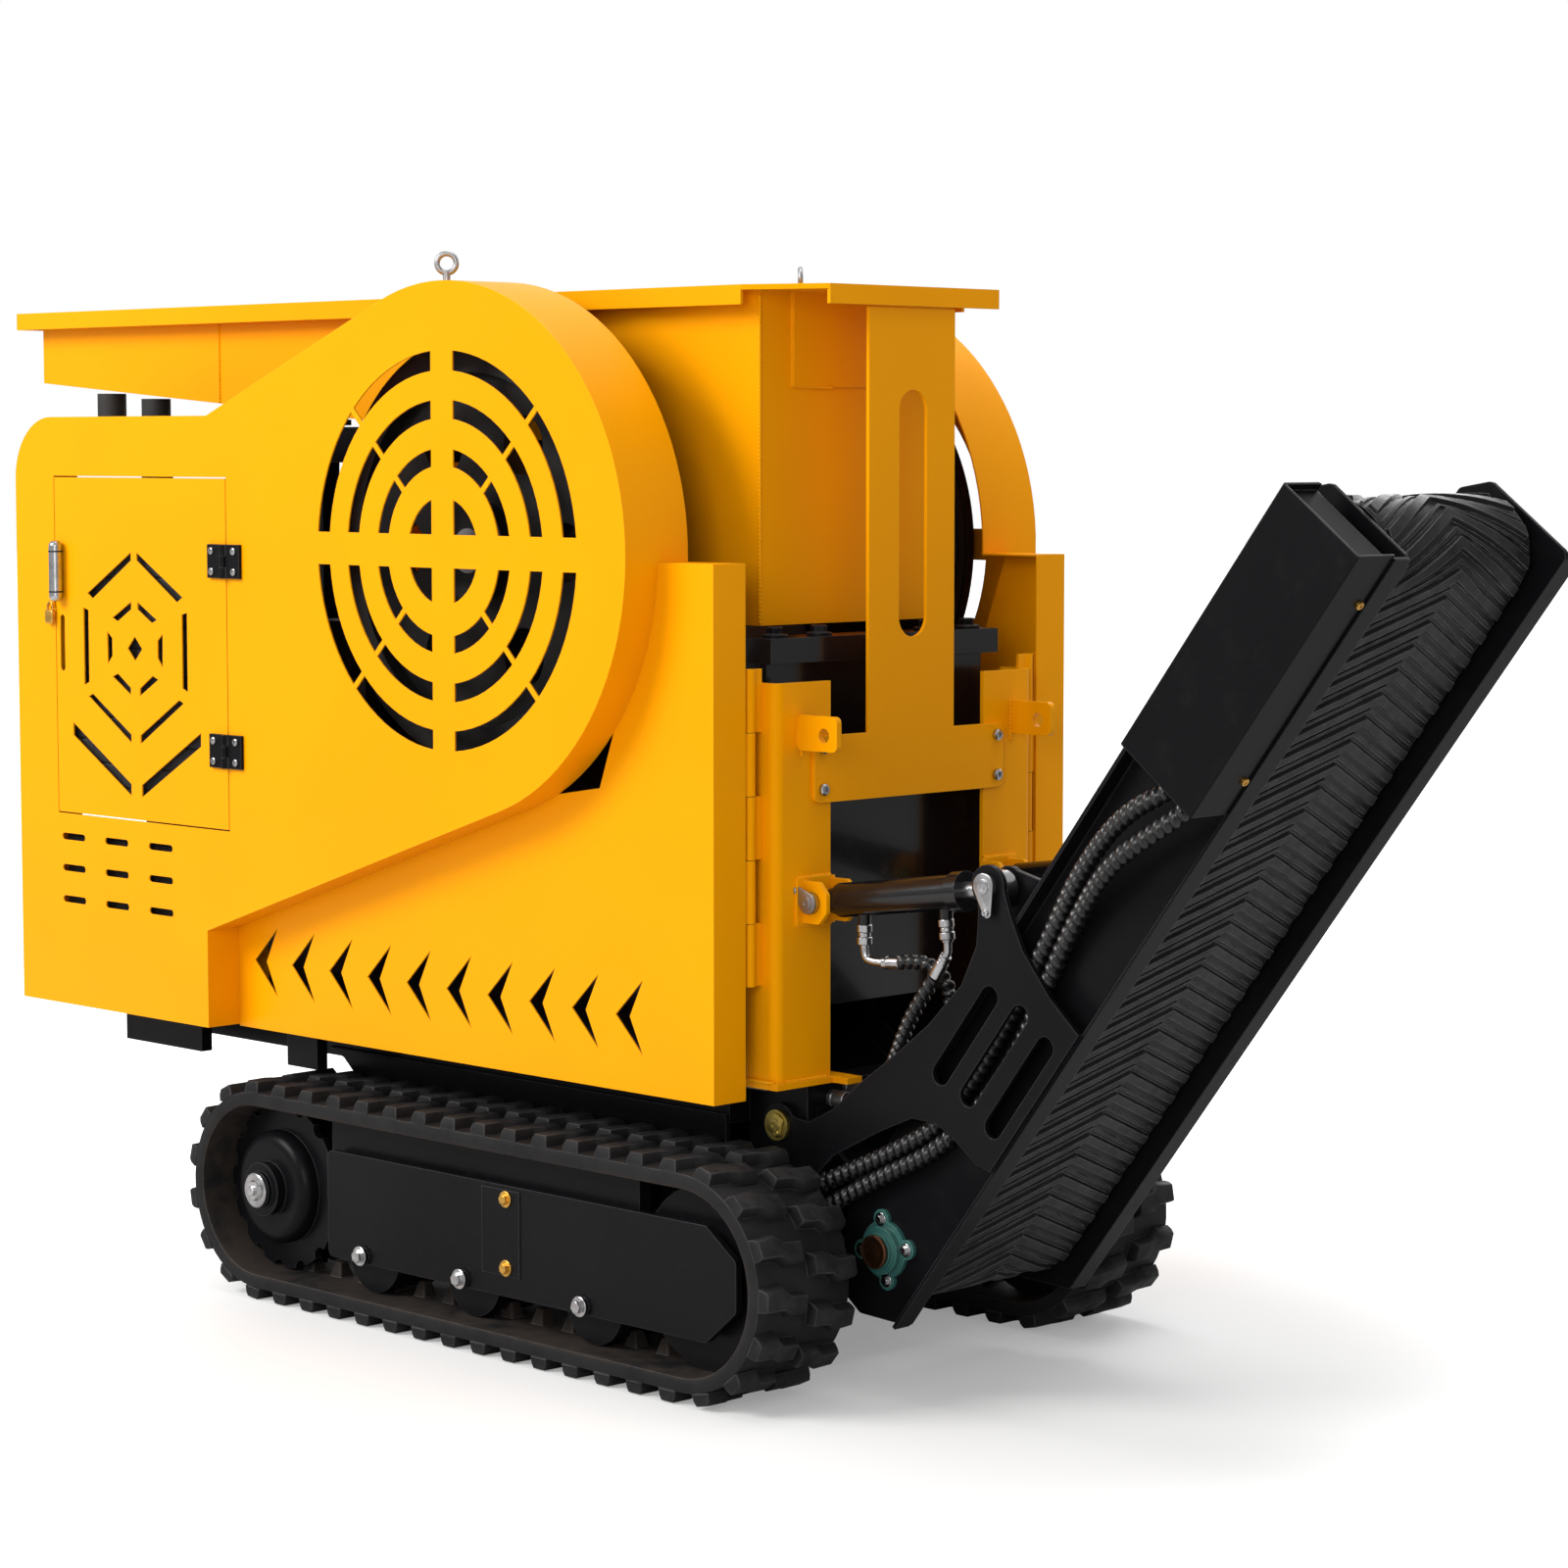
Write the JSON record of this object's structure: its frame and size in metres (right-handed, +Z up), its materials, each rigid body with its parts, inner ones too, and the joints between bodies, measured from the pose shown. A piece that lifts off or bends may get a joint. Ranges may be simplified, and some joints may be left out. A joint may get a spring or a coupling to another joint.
{
  "type": "tracked jaw crusher",
  "caption": "Compact tracked jaw crusher: feed hopper, drum flywheel covers with ring grilles, hinged engine doors, rubber tracks and a hydraulically folded chevron-belt discharge conveyor.",
  "frame": {"origin": "on the ground, under the middle of the machine's length and width", "axes": "+X towards the discharge conveyor, +Z up, near side with the motor guard at -Y"},
  "size_m": [3.0945, 0.966, 1.7233],
  "materials": {
    "yellow_paint": "gloss",
    "black_paint": "satin",
    "track_rubber": "worn, dusty in the recesses",
    "belt_rubber": "semi-gloss",
    "steel": "machined",
    "chrome": "polished",
    "cast_iron": "painted black",
    "green_paint": "satin",
    "gold_zinc": "yellow zinc plate",
    "engine_paint": "satin",
    "hose_plastic": "spiral guard"
  },
  "bodies": {
    "chassis": {"main_frame": "black_paint", "belly_skirts": "black_paint", "track_frames": "black_paint", "rubber_track_near": "track_rubber", "rubber_track_far": "track_rubber", "front_posts": "yellow_paint", "lock_ears": "yellow_paint", "post_hinges": "yellow_paint", "yoke_plate": "yellow_paint", "cylinder_brackets": "yellow_paint", "chassis_pins": "gold_zinc", "hopper": "yellow_paint", "feeder_mounts": "track_rubber", "feeder_frame": "black_paint", "crusher_frame": "black_paint", "shaft_bearings": "cast_iron", "fixed_jaw_plate": "cast_iron", "toggle_plate": "cast_iron", "discharge_chute": "black_paint", "drive_belts": "track_rubber", "diesel_engine": "engine_paint", "radiator": "steel", "fluid_tanks": "black_paint", "motor_hose_a": "hose_plastic", "motor_hose_b": "hose_plastic", "lift_hose_base": "hose_plastic", "lift_hose_rod": "hose_plastic"},
    "flywheels": {"eccentric_shaft": "steel", "flywheel_near": "cast_iron", "flywheel_far": "cast_iron"},
    "jaw": {"swing_jaw": "cast_iron", "swing_jaw_plate": "cast_iron"},
    "pulley": {"engine_pulley": "steel"},
    "cover_near": {"side_cover_near": "yellow_paint", "lower_panel_near": "yellow_paint", "cover_hinge_leaves_near": "black_paint", "lifting_eye_near": "steel"},
    "cover_far": {"side_cover_far": "yellow_paint", "lower_panel_far": "yellow_paint", "cover_hinge_leaves_far": "black_paint", "lifting_eye_far": "steel"},
    "door_near": {"engine_door_near": "yellow_paint", "door_hinge_leaves_near": "black_paint"},
    "door_far": {"engine_door_far": "yellow_paint", "door_hinge_leaves_far": "black_paint"},
    "handle_near": {"door_handle_near": "chrome"},
    "handle_far": {"door_handle_far": "chrome"},
    "drive_wheel_near": {"sprocket_near": "black_paint"},
    "drive_wheel_far": {"sprocket_far": "black_paint"},
    "idler_wheel_near": {"idler_near": "black_paint"},
    "idler_wheel_far": {"idler_far": "black_paint"},
    "rollers_rear": {"track_rollers_rear": "black_paint"},
    "rollers_middle": {"track_rollers_middle": "black_paint"},
    "rollers_front": {"track_rollers_front": "black_paint"},
    "conveyor": {"conveyor_frame": "black_paint", "arm_plates": "black_paint", "rod_pins": "steel", "conveyor_belt": "belt_rubber", "conveyor_bearings": "green_paint", "motor_guard": "black_paint", "drum_motor": "engine_paint"},
    "tail_roll": {"tail_drum": "steel"},
    "head_roll": {"head_drum": "steel"},
    "cylinders": {"lift_barrels": "black_paint"},
    "rods": {"lift_rods": "chrome"}
  },
  "joints": [
    {"name": "side_cover_near_hinge", "type": "hinge", "parent": "chassis", "child": "cover_near", "pos_m": [0.431, -0.311, 0.8], "axis": [0, 0, 1], "range_deg": [0, 95]},
    {"name": "side_cover_far_hinge", "type": "hinge", "parent": "chassis", "child": "cover_far", "pos_m": [0.431, 0.311, 0.8], "axis": [0, 0, -1], "range_deg": [0, 95]},
    {"name": "engine_door_near_hinge", "type": "hinge", "parent": "cover_near", "child": "door_near", "pos_m": [-0.653, -0.465, 1.07], "axis": [0, 0, 1], "range_deg": [0, 110]},
    {"name": "engine_door_far_hinge", "type": "hinge", "parent": "cover_far", "child": "door_far", "pos_m": [-0.653, 0.465, 1.07], "axis": [0, 0, -1], "range_deg": [0, 110]},
    {"name": "door_handle_near_lift", "type": "hinge", "parent": "door_near", "child": "handle_near", "pos_m": [-1.123, -0.471, 1.249], "axis": [-1, 0, 0], "range_deg": [0, 45]},
    {"name": "door_handle_far_lift", "type": "hinge", "parent": "door_far", "child": "handle_far", "pos_m": [-1.123, 0.471, 1.249], "axis": [1, 0, 0], "range_deg": [0, 45]},
    {"name": "flywheel_spin", "type": "hinge", "parent": "chassis", "child": "flywheels", "pos_m": [-0.099, 0, 1.255], "axis": [0, 1, 0], "continuous": true},
    {"name": "engine_pulley_spin", "type": "hinge", "parent": "chassis", "child": "pulley", "pos_m": [-0.76, 0.352, 0.8], "axis": [0, 1, 0], "continuous": true},
    {"name": "jaw_swing", "type": "hinge", "parent": "chassis", "child": "jaw", "pos_m": [-0.099, 0, 1.255], "axis": [0, 1, 0], "range_deg": [-0.8, 0.8]},
    {"name": "drive_wheel_near_spin", "type": "hinge", "parent": "chassis", "child": "drive_wheel_near", "pos_m": [-0.589, -0.3685, 0.185], "axis": [0, 1, 0], "continuous": true},
    {"name": "drive_wheel_far_spin", "type": "hinge", "parent": "chassis", "child": "drive_wheel_far", "pos_m": [-0.589, 0.3685, 0.185], "axis": [0, 1, 0], "continuous": true},
    {"name": "idler_near_spin", "type": "hinge", "parent": "chassis", "child": "idler_wheel_near", "pos_m": [0.439, -0.3685, 0.185], "axis": [0, 1, 0], "continuous": true},
    {"name": "idler_far_spin", "type": "hinge", "parent": "chassis", "child": "idler_wheel_far", "pos_m": [0.439, 0.3685, 0.185], "axis": [0, 1, 0], "continuous": true},
    {"name": "rollers_rear_spin", "type": "hinge", "parent": "chassis", "child": "rollers_rear", "pos_m": [-0.334, 0, 0.1095], "axis": [0, 1, 0], "continuous": true},
    {"name": "rollers_middle_spin", "type": "hinge", "parent": "chassis", "child": "rollers_middle", "pos_m": [-0.086, 0, 0.1095], "axis": [0, 1, 0], "continuous": true},
    {"name": "rollers_front_spin", "type": "hinge", "parent": "chassis", "child": "rollers_front", "pos_m": [0.197, 0, 0.1095], "axis": [0, 1, 0], "continuous": true},
    {"name": "conveyor_fold", "type": "hinge", "parent": "chassis", "child": "conveyor", "pos_m": [0.407, 0, 0.389], "axis": [0, 1, 0], "range_deg": [0, 30], "deforming": ["motor_hose_a", "motor_hose_b", "lift_hose_base", "lift_hose_rod"]},
    {"name": "head_drum_spin", "type": "hinge", "parent": "conveyor", "child": "head_roll", "pos_m": [1.40849, 0, 1.27275], "axis": [0, 1, 0], "continuous": true},
    {"name": "tail_drum_spin", "type": "hinge", "parent": "conveyor", "child": "tail_roll", "pos_m": [0.597, 0, 0.219], "axis": [0, 1, 0], "continuous": true},
    {"name": "cylinder_swing", "type": "hinge", "parent": "chassis", "child": "cylinders", "pos_m": [0.486, 0, 0.736], "axis": [0, 1, 0], "range_deg": [0, 32]},
    {"name": "rod_slide", "type": "slide", "parent": "cylinders", "child": "rods", "axis": [0.9913, 0, 0.1318], "range_m": [0, 0.1856]}
  ],
  "couplings": [
    {"joint": "engine_pulley_spin", "follows": "flywheel_spin", "ratio": 4.05},
    {"joint": "idler_near_spin", "follows": "drive_wheel_near_spin", "ratio": 1},
    {"joint": "idler_far_spin", "follows": "drive_wheel_far_spin", "ratio": 1},
    {"joint": "tail_drum_spin", "follows": "head_drum_spin", "ratio": 1},
    {"joint": "cylinder_swing", "follows": "conveyor_fold", "ratio": 1.06},
    {"joint": "rod_slide", "follows": "conveyor_fold", "m_per_rad": 0.354},
    {"joint": "rollers_rear_spin", "follows": "drive_wheel_near_spin", "ratio": 2.2031},
    {"joint": "rollers_middle_spin", "follows": "drive_wheel_near_spin", "ratio": 2.2031},
    {"joint": "rollers_front_spin", "follows": "drive_wheel_near_spin", "ratio": 2.2031}
  ]
}
